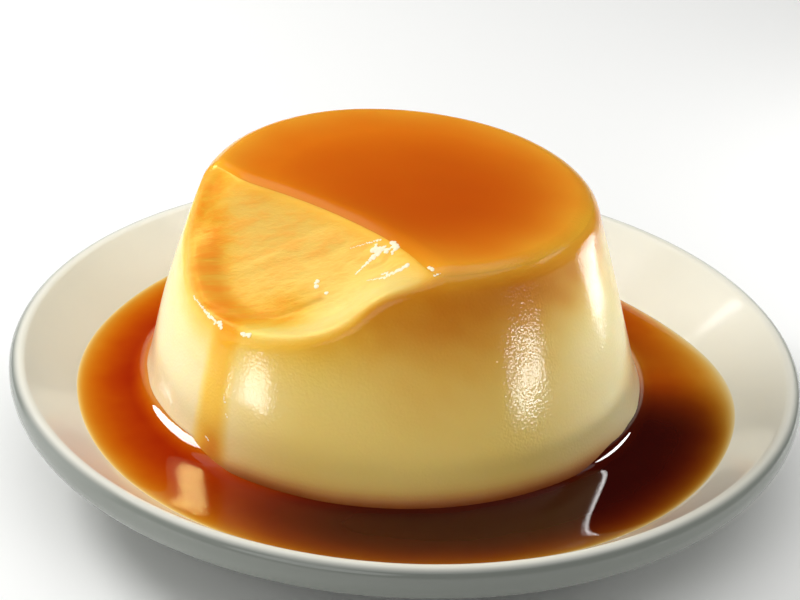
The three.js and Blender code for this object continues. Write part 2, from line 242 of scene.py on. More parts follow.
profile = np.concatenate([
    profile,
    arc(LIP_X, LIP_Z, LIP_ROUND, FLANK_MEETS_LIP, WALL_SLOPE + math.pi / 2, 20),
    line(wall_start, (COVE_END, well_height(COVE_END)), 10),
    arc(WELL_RADIUS, WELL_FLOOR + COVE_ROUND, COVE_ROUND, WALL_SLOPE - math.pi / 2, -math.pi / 2, 20),
    line((WELL_RADIUS - FLOOR_START, WELL_FLOOR), (0, WELL_FLOOR), 6),
    [(0, WELL_FLOOR)],
])
saucer_rings = turned(profile, np.linspace(0, 2 * math.pi, SAUCER_COLUMNS, endpoint=False))
saucer_points = np.concatenate(saucer_rings)
wiped = 1 - smoothstep(WIPED_TO, GLAZED_FROM, saucer_points[:, 2])
ring_numbers = np.repeat(np.arange(len(saucer_rings)), [len(ring) for ring in saucer_rings])
from_lip = ring_numbers - lip_ring
# Painted shade covers the outside, up into the lip's round.
outside = 1 - smoothstep(LAST_OUTSIDE_RING, FIRST_INSIDE_RING, from_lip)
saucer = make_piece("glazed_saucer", [saucer_rings], glazed_stoneware, {"bare": wiped, "outside": outside})
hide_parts("saucer")
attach(saucer, "root")

# ---------------------------------------------------------------------------------------------- Custard
# Egg, milk and sugar, baked in a tapered mould in a water bath until it sets, chilled and turned out.
# It stands by its own stiffness, sags a little at the foot and leans. A spoon has been drawn through
# the front left of its top, and has left a wet, dragged hollow.
FLAN = np.array([-1.9, 3.7, 0.0])
FLAN_BASE = 7.8
FLAN_TOP = 50.15
BASE_RADIUS = 44.85
TOP_RADIUS = 33.8
BELLY = 0.71
FOOT_SWELL = 0.45
FOOT_SWELL_HEIGHT = 2.5
TOP_ROUND = 3.3
BASE_ROUND = 4.0
TOP_FALL_X = -0.028
TOP_FALL_Y = -0.011
LEAN = -0.95
LEAN_BOW = -0.55
OUTLINE_WAVES = [(2, 0.22, 0.6), (3, 0.12, 2.1), (5, 0.07, 4.0)]
POOL_LEVEL = 11.8
CARAMEL_DEPTH = 0.9
SKIN_WAVE = 0.025
# An uneven field is the sum of this many waves, each this much finer or coarser than its lumps.
LUMP_WAVES = 7
LUMP_FINENESS = (0.7, 1.4)
LUMP_PEAK = 3
# Where a face lies along a way is found by halving the way this many times.
HALVINGS = 34

SCOOP_CENTRE = np.array([-21.2, -25.4, 57.3])
SCOOP_RADII = np.array([51.3, 30.0, 16.5])
SCOOP_YAW = math.radians(-17.1)
SCOOP_RISE = math.radians(-17.3)
SCOOP_ROLL = math.radians(34.4)
SCOOP_ARRIS = 1.7
# Where the spoon pressed deeper, or less deep, than a plain ellipsoid: a place, a depth and a spread.
SCOOP_TOUCHES = [
    ((-36.8, -2.6, 41.2), 2.2, 6.0),
    ((-33.6, 2.2, 49.6), 2.3, 5.0),
    ((-2.5, -35.4, 45.9), -2.25, 7.0),
]
TROUGH_DEPTH = 0.9
TROUGH_FROM_WALL = 5.5
TROUGH_WIDTH = 2.6
TROUGH_BEARING = math.radians(-132)
TROUGH_HALF_ARC = math.radians(32)

# The bowl of the spoon dragged the soft curd along this direction, across that one.
DRAG_ALONG = np.array([0.877, 0.079, 0.474])
DRAG_ACROSS = np.array([-0.282, 0.883, 0.375])
DRAG_MIDDLE = np.array([-21.0, -18.5, 40.0])
DRAG_SPREAD = 15.0
DRAG_WAVES = [(7.1, 0.05, 0.4), (4.3, 0.02, 2.0), (2.7, 0.008, 5.1)]
# The streaks wander sideways, break off here and there, and are fainter away from the middle.
DRAG_WANDER = 1.1
DRAG_WANDER_LENGTH = 6.5
DRAG_WOBBLE = 0.9
DRAG_BREAKS = 0.4
DRAG_LEAST = 0.25
CURD_GRAIN = 0.005
# The marks come in between these depths under the moulded skin.
MARKS_COME_IN = (0.3, 2.2)
# The fold behind the front lip, where the curd was pushed up against itself.
CREASE = np.array([(-33.0, -21.0, 35.3), (-26.4, -25.1, 35.7), (-19.6, -26.4, 37.2), (-13.0, -26.4, 40.5)])
CREASE_DEPTH = 0.3
CREASE_WIDTH = 0.7
# Where thin caramel gathered in the cut, down its left side and along the fold.
AMBER_BAND = np.array([
    (-33.3, 1.3, 48.6), (-34.3, -2.3, 45.1), (-33.7, -6.3, 42.3), (-33.1, -11.1, 39.9), (-33.0, -15.8, 37.6),
    (-31.5, -20.0, 36.1), (-27.8, -24.4, 35.6), (-23.3, -25.5, 36.2), (-18.0, -26.1, 38.0),
])
# The crest of the front lip.
LIP_LINE = np.array([
    (-23.0, -30.3, 36.0), (-12.7, -31.6, 39.6), (-6.3, -31.0, 43.4), (0.2, -31.9, 47.6), (5.2, -31.0, 49.6),
])
# The torn place where the spoon came out, with its small folds.
TEAR_MIDDLE = np.array([-1.5, -24.5, 48.5])
TEAR_SPREAD = 5.0
TEAR_HEIGHT = 0.05
TEAR_FOLD = 2.3
TEAR_WANDER = 1.5
# The caramel that ran over the front left of the lip, down to the pool: its middle line and half width.
RUN_LINE = np.array([
    (-28.4, -27.6, 33.6), (-29.0, -28.0, 30.5), (-29.4, -28.8, 27.0), (-30.2, -29.6, 23.0),
    (-31.0, -30.7, 19.5), (-31.7, -31.8, 16.0), (-32.2, -33.2, 12.4),
])
RUN_HALF_WIDTH = 3.3
RUN_WIDENS = 0.35
RUN_HEIGHT = 0.14
RUN_START = 0.12


def rounded_max(a, b, radius):
    """The larger of two distances, with the edge where they meet rounded."""
    over = np.hypot(np.maximum(a + radius, 0), np.maximum(b + radius, 0))
    return np.minimum(-radius, np.maximum(a, b)) + over


def rise_of(z):
    return np.clip((z - FLAN_BASE) / (FLAN_TOP - FLAN_BASE), 0, 1)


def axis_shift(z):
    return LEAN * rise_of(z) + LEAN_BOW * np.sin(math.pi * rise_of(z))


def fade(away, reach, power=2):
    """1 at no distance, about a third at the reach, and next to nothing far past it."""
    return np.exp(-((np.maximum(away, 0) / reach) ** power))


def wall_radius(z, bearing):
    rise = rise_of(z)
    taper = BASE_RADIUS + (TOP_RADIUS - BASE_RADIUS) * rise
    swell = FOOT_SWELL * fade(np.abs(z - POOL_LEVEL), FOOT_SWELL_HEIGHT)
    waves = sum(height * np.sin(lobes * bearing + phase) for lobes, height, phase in OUTLINE_WAVES)
    return taper + BELLY * np.sin(math.pi * rise) + swell + waves


def past_wall(points):
    """How far points are out from the uncut wall, measured level, and their bearing from the axis."""
    from_axis = points[..., 0] - axis_shift(points[..., 2])
    bearing = np.arctan2(points[..., 1], from_axis)
    return np.hypot(from_axis, points[..., 1]) - wall_radius(points[..., 2], bearing), bearing


def top_height(points):
    return FLAN_TOP + TOP_FALL_X * points[..., 0] + TOP_FALL_Y * points[..., 1]


def flan_distance(points):
    """Signed distance to the uncut custard, negative inside. Points are given from its own axis."""
    taper = math.cos(math.atan((BASE_RADIUS - TOP_RADIUS) / (FLAN_TOP - FLAN_BASE)))
    side = past_wall(points)[0] * taper
    above = points[..., 2] - top_height(points)
    return rounded_max(rounded_max(side, above, TOP_ROUND), FLAN_BASE - points[..., 2], BASE_ROUND)


def lumps(points, size, seed):
    """A smooth uneven field, from about -1 to 1, with lumps of about that size."""
    draw = np.random.default_rng(seed)
    total = 0
    for _ in range(LUMP_WAVES):
        direction = draw.normal(size=3)
        direction *= 2 * math.pi * draw.uniform(*LUMP_FINENESS) / (size * np.linalg.norm(direction))
        total = total + np.sin(points @ direction + draw.uniform(0, 2 * math.pi))
    return total / LUMP_PEAK


def line_distance(points, corners):
    """How far points are from a line through corners, and which share of the way along it is nearest."""
    best = np.full(points.shape[:-1], np.inf)
    along = np.zeros(points.shape[:-1])
    for leg, (start, end) in enumerate(zip(corners[:-1], corners[1:])):
        way = end - start
        share = np.clip((points - start) @ way / (way @ way), 0, 1)
        away = np.linalg.norm(points - start - share[..., None] * way, axis=-1)
        along = np.where(away < best, (leg + share) / (len(corners) - 1), along)
        best = np.minimum(best, away)
    return best, along


def from_place(points, place):
    return np.linalg.norm(points - place, axis=-1)


def drag_marks(points):
    """How far the dragged curd stands up, from the streaks, the fold and the torn place."""
    across = points @ DRAG_ACROSS
    wander = DRAG_WANDER * np.sin((points @ DRAG_ALONG) / DRAG_WANDER_LENGTH)
    sideways = across + wander + DRAG_WOBBLE * lumps(points, size=12, seed=3)
    streaks = sum(
        height * np.sin(2 * math.pi * sideways / length + phase) for length, height, phase in DRAG_WAVES
    )
    streaks = streaks * (1 - DRAG_BREAKS + DRAG_BREAKS * lumps(points, size=8, seed=4))
    dragged = DRAG_LEAST + (1 - DRAG_LEAST) * fade(from_place(points, DRAG_MIDDLE), DRAG_SPREAD, power=4)
    fold = -CREASE_DEPTH * fade(line_distance(points, CREASE)[0], CREASE_WIDTH)
    torn = fade(from_place(points, TEAR_MIDDLE), TEAR_SPREAD, power=4)
    phase = 2 * math.pi * across / TEAR_FOLD + TEAR_WANDER * lumps(points, size=5, seed=8)
    folds = TEAR_HEIGHT * torn * np.sin(phase)
    grain = CURD_GRAIN * lumps(points, size=1.7, seed=5)
    inside = smoothstep(*MARKS_COME_IN, -flan_distance(points))
    return (streaks * dragged + folds + grain) * inside + fold


def turn(axis, angle):
    return np.array(Matrix.Rotation(angle, 3, axis))


SCOOP_TURN = turn("Z", SCOOP_YAW) @ turn("Y", SCOOP_RISE) @ turn("X", SCOOP_ROLL)


def scoop_distance(points):
    """Signed distance to the space that the spoon cut out, negative inside it."""
    local = ((points - SCOOP_CENTRE) @ SCOOP_TURN) / SCOOP_RADII
    reach = np.linalg.norm(local, axis=-1) + 1e-9
    distance = (reach - 1) * reach / np.linalg.norm(local / SCOOP_RADII, axis=-1)
    for place, depth, spread in SCOOP_TOUCHES:
        distance = distance - depth * fade(from_place(points, place), spread)
    out, bearing = past_wall(points)
    across = fade(np.abs(out + TROUGH_FROM_WALL), TROUGH_WIDTH)
    along = fade(np.abs(bearing - TROUGH_BEARING), TROUGH_HALF_ARC, power=4)
    return distance - TROUGH_DEPTH * across * along + drag_marks(points)


def across_run(points):
    """How far points are from the run's middle line, in its half widths, and the share along it."""
    away, along = line_distance(points, RUN_LINE)
    return away / (RUN_HALF_WIDTH * (1 + RUN_WIDENS * along**2)), along


def run_thickness(points):
    """How thick the caramel run lies on the wall, 0 off it."""
    across, along = across_run(points)
    return RUN_HEIGHT * np.clip(1 - across**2, 0, 1) * smoothstep(0, RUN_START, along)


def bitten_distance(points):
    """Signed distance to the whole custard with the caramel on it, less what the spoon took."""
    skin = flan_distance(points) + SKIN_WAVE * lumps(points, size=11, seed=1) - run_thickness(points)
    return rounded_max(skin, -scoop_distance(points), SCOOP_ARRIS)


def halve(near, far, count, holds):
    """Closes in on where a test that holds at near stops holding, for a number of ways at once."""
    near, far = np.full(count, float(near)), np.full(count, float(far))
    for _ in range(HALVINGS):
        middle = (near + far) / 2
        held = holds(middle)
        near, far = np.where(held, middle, near), np.where(held, far, middle)
    return near, far


def cast(distance, inner, targets):
    """Where the rays from an inner point through each target leave a solid."""
    directions = targets - inner
    directions /= np.linalg.norm(directions, axis=-1, keepdims=True)
    inside, _ = halve(
        0, 2 * BASE_RADIUS, len(targets), lambda reach: distance(inner + directions * reach[:, None]) < 0
    )
    return inner + directions * inside[:, None]


# Under the caramel-soaked layer the custard lies in by the gap, which begins within the ease.
LAYER_GAP = 0.05
LAYER_GAP_EASE = 0.1


def custard_distance(points):
    over_layer_foot = points[..., 2] - (top_height(points) - CARAMEL_DEPTH)
    return bitten_distance(points) + LAYER_GAP * smoothstep(-LAYER_GAP_EASE, 0, over_layer_foot)


# The mesh is finer where the spoon has cut, between these bearings and from this height up.
CUT_FROM = math.radians(155)
CUT_TO = math.radians(300)
CUT_FOOT = 28.0
RIM_STEP = 0.2
INNERMOST = 0.02
CUT_COLUMNS = 300
PLAIN_COLUMNS = 120
LOW_RINGS = 22
CUT_RINGS = 74
TOP_RINGS = 96

cut_columns = line(CUT_FROM, CUT_TO, CUT_COLUMNS)
plain_columns = line(CUT_TO, CUT_FROM + 2 * math.pi, PLAIN_COLUMNS)
columns = np.concatenate([cut_columns, plain_columns])
wall_foot = FLAN_BASE + BASE_ROUND
low_wall = line(wall_foot, CUT_FOOT, LOW_RINGS)[1:]
cut_wall = np.linspace(CUT_FOOT, FLAN_TOP - RIM_STEP, CUT_RINGS)
heights = np.concatenate([low_wall, cut_wall])
base_arc = arc(wall_radius(wall_foot, 0) - BASE_ROUND, wall_foot, BASE_ROUND, -math.pi / 2, 0, 8)
inward = np.linspace(1, INNERMOST, TOP_RINGS)[1:]
outline = np.concatenate([
    line((0, FLAN_BASE), base_arc[0], 4),
    base_arc,
    np.stack([wall_radius(heights, 0), heights], axis=1),
    np.stack([TOP_RADIUS * inward, np.full(len(inward), FLAN_TOP)], axis=1),
    [(0, FLAN_TOP)],
])
targets = turned(outline, columns)
custard_points = cast(custard_distance, np.array([0, 0, FLAN_TOP / 2]), np.concatenate(targets))
custard_rings = np.split(custard_points, np.cumsum([len(ring) for ring in targets])[:-1])


# How the caramel on the custard reaches and spreads, in millimetres, and its bearings and arcs in degrees.
CUT_EASE = 1.2
# The stain is partly caramel that soaked in under the rim and partly painted shade, so it reaches furthest
# down the front.
STAIN_BEARING = -75
STAIN_ARC = 36
STAIN_REACH = 4.5
STAIN_REACH_IN_ARC = 10
STAIN_UNDER_LIP = 0.5
STAIN_WAVE = 1.2
STAIN_FINE_WAVE = 0.5
VEIL_BEARING = -18
VEIL_ARC = 46
VEIL_REACH = 15
UNDER_LIP_REACH = 3.6
AMBER_SPREAD = 3.6
AMBER_STRENGTH = 1.15
AMBER_OFF_CUT = 0.35
RIM_EDGE_START = 0.4
RIM_EDGE_REACH = 1.8
LIP_SPREAD = 4.5
FOOT_FILM_BEARING = -78
FOOT_FILM_ARC = (62, 40)
FOOT_FILM_START = 0.2
FOOT_FILM_REACH = 1.5
FOOT_FILM_ELSEWHERE = 0.08
RUN_EDGE = (0.35, 1.3)
# Round this bearing the front of the custard is given a darker, richer yellow: painted shade.
SHADED_BEARING = -85
SHADED_ARC = (68, 22)
SWIRL = RUN_LINE[-1] + (0.8, 0, 2.0)
SWIRL_SPREAD = 2.8


def cut_share(points):
    """1 on the spoon's cut, 0 on the moulded skin, and between them across the arris."""
    return smoothstep(-CUT_EASE, CUT_EASE, -flan_distance(points) - scoop_distance(points))


def near_line(points, corners, spread):
    return fade(line_distance(points, corners)[0], spread)


def turned_from(bearing, middle):
    """How many degrees bearings are from another one, the shorter way round."""
    return np.abs((bearing - middle + 180) % 360 - 180)


def custard_masks(points):
    """Where caramel stained, ran over or gathered on the custard, where the cut is pale, and painted shade.
    """
    below = top_height(points) - points[..., 2]
    uneven = STAIN_WAVE * lumps(points, size=14, seed=21) + STAIN_FINE_WAVE * lumps(points, size=5, seed=22)
    bearing = np.degrees(np.arctan2(points[..., 1], points[..., 0]))
    cut = cut_share(points)
    veil = fade(below + uneven, VEIL_REACH, power=1.6) * fade(np.abs(bearing - VEIL_BEARING), VEIL_ARC)
    under_lip = fade(scoop_distance(points), UNDER_LIP_REACH, power=1.4)
    stain_reach = STAIN_REACH + STAIN_REACH_IN_ARC * fade(turned_from(bearing, STAIN_BEARING), STAIN_ARC)
    # Painted shade is part of this stain, which is why it reaches furthest at the front.
    stain_and_painted_shade = fade(below + uneven, stain_reach, power=1.8) * (1 - STAIN_UNDER_LIP * under_lip)
    amber = np.clip(AMBER_STRENGTH * near_line(points, AMBER_BAND, AMBER_SPREAD), 0, 1)
    foot = fade(points[..., 2] - POOL_LEVEL - FOOT_FILM_START, FOOT_FILM_REACH, power=1.3)
    front = smoothstep(*FOOT_FILM_ARC, turned_from(bearing, FOOT_FILM_BEARING))
    return {
        "cut": cut,
        "stain_and_painted_shade": stain_and_painted_shade * (1 - cut),
        "veil": veil * (1 - cut),
        "under_lip": under_lip * (1 - cut),
        "amber": amber * (AMBER_OFF_CUT + (1 - AMBER_OFF_CUT) * cut),
        "edge": fade(below - RIM_EDGE_START, RIM_EDGE_REACH, power=1.5),
        "lip": near_line(points, LIP_LINE, LIP_SPREAD) * cut,
        "foot": foot * (FOOT_FILM_ELSEWHERE + (1 - FOOT_FILM_ELSEWHERE) * front),
        "run": 1 - smoothstep(*RUN_EDGE, across_run(points)[0]),
        "shaded": smoothstep(*SHADED_ARC, turned_from(bearing, SHADED_BEARING)),
        "swirl": fade(from_place(points, SWIRL), SWIRL_SPREAD),
    }


# Baked egg custard, set against a smooth mould: a weak gel that light enters, so that its shade is soft
# and warm, under a wet skin with a fine pebble that breaks up the edges of its highlights.
CUSTARD_PALE = linear("#F9EBBB")
# The darker yellow of the custard's front, which is painted shade.
CUSTARD_PAINTED_SHADE = linear("#EDD073")
CUSTARD_CUT = linear("#E6BB58")
CUSTARD_LIP = linear("#E6D584")
CURD_PEACH = linear("#F0A440")
CARAMEL_AMBER = linear("#F0A41E")
CARAMEL_STAIN = linear("#BC6606")
CARAMEL_FILM = linear("#8A4410")
SOAKED_AMBER = linear("#FFC83F")
RIM_AMBER = linear("#FAB634")
RUN_AMBER = linear("#F8B92E")
CUSTARD_IOR = 1.36
CUSTARD_ROUGHNESS = 0.11
CUT_ROUGHNESS = 0.4
SKIN_SPECULAR = 0.5
CUT_SPECULAR = 0.22
CUSTARD_DEPTH_OF_LIGHT = 1.4 * MM
PEBBLE = 0.46 * MM
PEBBLE_HEIGHT = 0.032 * MM
CURD_STREAK = 2.4 * MM
CURD_HEIGHT = 0.2 * MM
CURD_CLOUD = 7 * MM
# Streaks lie along the spoon's drag, turned and drawn out so. Peach and amber show in parts of them.
STREAK_TURN = (0.0, math.radians(-28), math.radians(5))
STREAK_STRETCH = (0.13, 1.0, 1.0)
PEACH_FROM, PEACH_FULL, PEACH_MOST = 0.4, 0.66, 0.6
AMBER_FROM, AMBER_FULL, AMBER_LEAST = 0.36, 0.62, 0.55
# The cloud makes each film of caramel a little thinner in places.
CLOUD_FROM, CLOUD_FULL, CLOUD_LEAST = 0.3, 0.7, 0.85
EDGE_MOST = 0.9
DARKEST_FILM = 0.03
LIGHT_IN_CUSTARD = 0.35
LIGHT_REACH_IN_CUSTARD = (1.0, 0.65, 0.3)

custard_marks = custard_masks(custard_points)
baked_custard, tree, shader, place, masks = new_material("egg_custard_baked_in_mould", custard_marks)
cloud = add_node(tree, "TexNoise", {"Vector": place, "Scale": 1 / CURD_CLOUD, "Detail": 4.0}).outputs["Fac"]
streak_place = add_node(tree, "Mapping", {
    "Vector": place, "Rotation": STREAK_TURN, "Scale": STREAK_STRETCH,
}).outputs["Vector"]
streak = add_node(tree, "TexNoise", {
    "Vector": streak_place, "Scale": 1 / CURD_STREAK, "Detail": 5.0, "Roughness": 0.62,
}).outputs["Fac"]
peach_share = add_node(tree, "MapRange", {
    "Value": streak, "From Min": PEACH_FROM, "From Max": PEACH_FULL, "To Max": PEACH_MOST,
}, interpolation_type="SMOOTHSTEP").outputs["Result"]
cut_colour = add_node(tree, "Mix", {
    "Factor": peach_share, "A": CUSTARD_CUT, "B": CURD_PEACH,
}, data_type="RGBA").outputs["Result"]
colour = CUSTARD_PALE
# The first coat is the front's painted shade.
coats = [("shaded", CUSTARD_PAINTED_SHADE, 1.0), ("cut", cut_colour, 1.0), ("lip", CUSTARD_LIP, 0.8)]
for mask, laid, most in coats:
    share = add_node(tree, "Math", {0: masks[mask], 1: most}, operation="MULTIPLY").outputs[0]
    colour = add_node(tree, "Mix", {
        "Factor": share, "A": colour, "B": laid,
    }, data_type="RGBA").outputs["Result"]
# Caramel that has soaked in or lies on the custard takes away light, so each film multiplies what is
# under it. Each has the colour that it gives to pale custard, and how thick it is at most.
# The stain's film holds painted shade as well as caramel.
films = [
    ("veil", SOAKED_AMBER, 0.5), ("under_lip", CARAMEL_AMBER, 0.5), ("stain_and_painted_shade", CARAMEL_STAIN, 0.75),
    ("amber", CARAMEL_AMBER, 0.65), ("run", RUN_AMBER, 0.65), ("swirl", CARAMEL_STAIN, 0.5),
    ("foot", CARAMEL_FILM, 0.9),
]
in_streaks = add_node(tree, "MapRange", {
    "Value": streak, "From Min": AMBER_FROM, "From Max": AMBER_FULL, "To Min": AMBER_LEAST, "To Max": 1.0,
}).outputs["Result"]
masks["amber"] = add_node(tree, "Math", {0: masks["amber"], 1: in_streaks}, operation="MULTIPLY").outputs[0]
for mask, film, most in films:
    left_by_film = [max(part / under, DARKEST_FILM) for part, under in zip(film[:3], CUSTARD_PALE)]
    uneven = add_node(tree, "MapRange", {
        "Value": cloud, "From Min": CLOUD_FROM, "From Max": CLOUD_FULL,
        "To Min": CLOUD_LEAST * most, "To Max": most,
    }).outputs["Result"]
    share = add_node(tree, "Math", {0: masks[mask], 1: uneven}, operation="MULTIPLY").outputs[0]
    left = add_node(tree, "VectorMath", {0: left_by_film, 1: share}, operation="POWER").outputs["Vector"]
    colour = add_node(tree, "VectorMath", {0: colour, 1: left}, operation="MULTIPLY").outputs["Vector"]
share = add_node(tree, "Math", {0: masks["edge"], 1: EDGE_MOST}, operation="MULTIPLY").outputs[0]
colour = add_node(tree, "Mix", {
    "Factor": share, "A": colour, "B": RIM_AMBER,
}, data_type="RGBA").outputs["Result"]
pebble = add_node(tree, "TexNoise", {"Vector": place, "Scale": 1 / PEBBLE, "Detail": 0.5}).outputs["Fac"]
fine = add_node(tree, "Mix", {"Factor": masks["cut"], "A": pebble, "B": streak}).outputs["Result"]
fine_height, roughness, mirror = (
    add_node(tree, "MapRange", {
        "Value": masks["cut"], "To Min": on_skin, "To Max": on_cut,
    }).outputs["Result"]
    for on_skin, on_cut in (
        (PEBBLE_HEIGHT, CURD_HEIGHT), (CUSTARD_ROUGHNESS, CUT_ROUGHNESS), (SKIN_SPECULAR, CUT_SPECULAR),
    )
)
pebbled = add_node(tree, "Bump", {"Height": fine, "Distance": fine_height}).outputs["Normal"]
tree.links.new(colour, shader.inputs["Base Color"])
tree.links.new(roughness, shader.inputs["Roughness"])
tree.links.new(mirror, shader.inputs["Specular IOR Level"])
tree.links.new(pebbled, shader.inputs["Normal"])
shader.inputs["IOR"].default_value = CUSTARD_IOR
shader.inputs["Subsurface Weight"].default_value = LIGHT_IN_CUSTARD
shader.inputs["Subsurface Radius"].default_value = LIGHT_REACH_IN_CUSTARD
shader.inputs["Subsurface Scale"].default_value = CUSTARD_DEPTH_OF_LIGHT

custard = make_piece("egg_custard", [[ring + FLAN for ring in custard_rings]], baked_custard, custard_marks)
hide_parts("custard")
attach(custard, "root")

# --------------------------------------------------------------------------------------- Froth and whey
# Where the spoon came out it beat whey and syrup into a little froth, and drops of whey weep from
# the cut. They lie on the custard in low beads that run together, held by their own wetness. Their
# near-white colour is a painted highlight, where the wet cut glints.
# Each streak is a line on the custard, from which place to which, and its half width at either end.
FROTH_STREAKS = [
    ((-7.4, -24.1, 44.8), (-4.6, -22.3, 47.0), 0.18, 0.42),
    ((-4.8, -22.4, 46.9), (-3.2, -21.3, 48.5), 0.42, 0.75),
    ((-4.4, -21.0, 48.1), (-2.4, -22.0, 48.7), 0.62, 0.5),
    ((-4.3, -20.2, 48.7), (-3.9, -21.3, 47.9), 0.25, 0.5),
    ((-1.5, -20.9, 49.8), (-0.7, -22.5, 49.5), 0.55, 0.62),
    ((-0.8, -22.4, 49.5), (-1.4, -23.3, 48.7), 0.6, 0.3),
    ((-2.4, -22.5, 48.4), (-1.4, -21.9, 49.4), 0.35, 0.3),
    ((-5.4, -26.6, 45.2), (-2.4, -28.0, 46.7), 0.12, 0.3),
    ((-2.4, -28.0, 46.7), (1.2, -27.4, 48.6), 0.3, 0.62),
    ((-3.0, -26.9, 46.7), (-2.0, -27.1, 47.2), 0.25, 0.3),
    ((-8.6, -18.9, 46.9), (-3.5, -19.7, 49.3), 0.1, 0.25),
    ((3.3, -25.6, 50.1), (3.9, -26.5, 50.1), 0.16, 0.2),
    ((4.5, -29.2, 49.7), (5.4, -29.9, 49.8), 0.4, 0.48),
    ((5.6, -31.5, 49.4), (6.8, -31.1, 49.6), 0.2, 0.28),
    ((-35.0, -17.9, 35.5), (-31.8, -23.1, 34.7), 0.16, 0.3),
    ((-31.8, -23.1, 34.7), (-29.4, -25.9, 34.5), 0.3, 0.5),
    ((-26.1, -28.8, 35.0), (-24.4, -29.9, 35.3), 0.36, 0.42),
    ((-13.9, -22.4, 42.3), (-13.9, -23.2, 41.8), 0.4, 0.48),
    ((-12.3, -25.4, 41.6), (-12.0, -25.5, 41.7), 0.36, 0.36),
    ((-28.3, -31.2, 24.1), (-28.2, -31.5, 22.9), 0.12, 0.22),
    ((-27.9, -32.2, 21.2), (-27.7, -32.5, 20.7), 0.16, 0.2),
    ((-31.2, -30.7, 15.6), (-30.6, -31.4, 15.1), 0.2, 0.16),
]
BEAD_SPACING = 0.16
BEAD_FLATNESS = 0.34
BEAD_SINK = 0.4
BEAD_COLUMNS = 12
BEAD_BANDS = 6
# Beads stray from their streak by this share of its half width, and are this share of it in size.
BEAD_STRAYS = 0.4
BEAD_SHARES = (0.45, 1.0)
FEWEST_BEADS = 3
# A direction that no bead faces, from which each gets its sideways one.
NEARLY_UP = (0.0, 0.3, 1.0)
PROBE = 0.05
SETTLINGS = 4


def sit_on_custard(points):
    """Moves points onto the custard's face, and gives the face's direction there."""
    for _ in range(SETTLINGS):
        slope = np.stack([
            custard_distance(points + way) - custard_distance(points - way) for way in PROBE * np.eye(3)
        ], axis=1)
        facing = slope / np.linalg.norm(slope, axis=1, keepdims=True)
        points = points - facing * custard_distance(points)[:, None]
    return points, facing


def bead(place, facing, radius):
    """Rings of a low round bead, sunk a little into the face that it sits on."""
    side = np.cross(facing, NEARLY_UP)
    side /= np.linalg.norm(side)
    frame_of_bead = np.stack([side, np.cross(facing, side), facing])
    squash = np.array([radius, radius, radius * BEAD_FLATNESS])
    return [place + (ring * squash - [0, 0, BEAD_SINK * squash[2]]) @ frame_of_bead for ring in round_bead]


bead_profile = arc(0, 0, 1, -math.pi / 2, math.pi / 2, BEAD_BANDS)
bead_profile[:, 0] = np.abs(bead_profile[:, 0])
round_bead = turned(bead_profile, np.linspace(0, 2 * math.pi, BEAD_COLUMNS, endpoint=False))
draw = np.random.default_rng(seed=7)
bead_places, bead_radii = [], []
for start, end, start_half, end_half in FROTH_STREAKS:
    start, end = np.array(start), np.array(end)
    count = max(FEWEST_BEADS, round(np.linalg.norm(end - start) / BEAD_SPACING))
    for share in np.linspace(0, 1, count):
        half = start_half + (end_half - start_half) * share
        bead_places.append(start + (end - start) * share + draw.normal(size=3) * half * BEAD_STRAYS)
        bead_radii.append(half * draw.uniform(*BEAD_SHARES))
bead_places, bead_facings = sit_on_custard(np.array(bead_places))
beads = [
    [ring + FLAN for ring in bead(place, facing, radius)]
    for place, facing, radius in zip(bead_places, bead_facings, bead_radii)
]

# Froth of whey and syrup, wet on top. Its near-white colour is a painted highlight, where the wet cut
# glints.
FROTH_PAINTED_HIGHLIGHT = linear("#FFF6E0")
FROTH_CREAM = linear("#FFEDBD")
FROTH_CLOUD = 1.2 * MM
FROTH_ROUGHNESS = 0.15
FROTH_IOR = 1.36

whey_froth, tree, shader, place, _ = new_material("whey_beaten_to_froth")
cloud = add_node(tree, "TexNoise", {
    "Vector": place, "Scale": 1 / FROTH_CLOUD, "Detail": 2.0,
}).outputs["Fac"]
froth_colour = add_node(tree, "Mix", {
    "Factor": cloud, "A": FROTH_PAINTED_HIGHLIGHT, "B": FROTH_CREAM,
}, data_type="RGBA").outputs["Result"]
tree.links.new(froth_colour, shader.inputs["Base Color"])
shader.inputs["Roughness"].default_value = FROTH_ROUGHNESS
shader.inputs["IOR"].default_value = FROTH_IOR

froth = make_piece("whey_froth_and_drops", beads, whey_froth)
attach(froth, "root")

# ------------------------------------------------------------------------------- Caramel-soaked layer
# The top of the same custard, where the caramel at the bottom of the mould soaked in as it baked.
# It is no coat: it has the custard's own surface, and is cut off by the spoon with the rest.
LAYER_MIDDLE = np.array([7.0, 8.0, 0.0])
LAYER_COLUMNS = 400
LAYER_RINGS = 90
UNDERSIDE_SHARES = (0.3, 0.6, 0.85, 0.95, 1.0)
# Heights over the layer's underside: in it, above it, and more than any place of its face has.
IN_LAYER = 0.4
ABOVE_LAYER = 2.0
OVER_ALL_OF_LAYER = 3.0


def even_spokes(count):
    """Level directions, spread evenly round the axis, and their bearings."""
    bearings = np.linspace(0, 2 * math.pi, count, endpoint=False)
    return np.stack([np.cos(bearings), np.sin(bearings), 0 * bearings], axis=1), bearings


def with_height(points, height):
    return np.concatenate([points[..., :2], np.broadcast_to(height, points.shape[:-1])[..., None]], axis=-1)


def on_plane(points, over_layer_foot):
    """The points, put at a height over the plane that the layer's underside lies in."""
    return with_height(points, top_height(points) - CARAMEL_DEPTH + over_layer_foot)


def layer_foot(share):
    """Points round the layer's underside, at a share of the way out from its middle to its edge."""
    return LAYER_MIDDLE + spokes * (edge_reach * share)[:, None]


def layer_face(foot_points):
    """Where the layer's face lies, straight above points of its underside."""
    height, _ = halve(
        0, OVER_ALL_OF_LAYER, len(foot_points),
        lambda middle: bitten_distance(on_plane(foot_points, middle)) < 0,
    )
    return on_plane(foot_points, height)


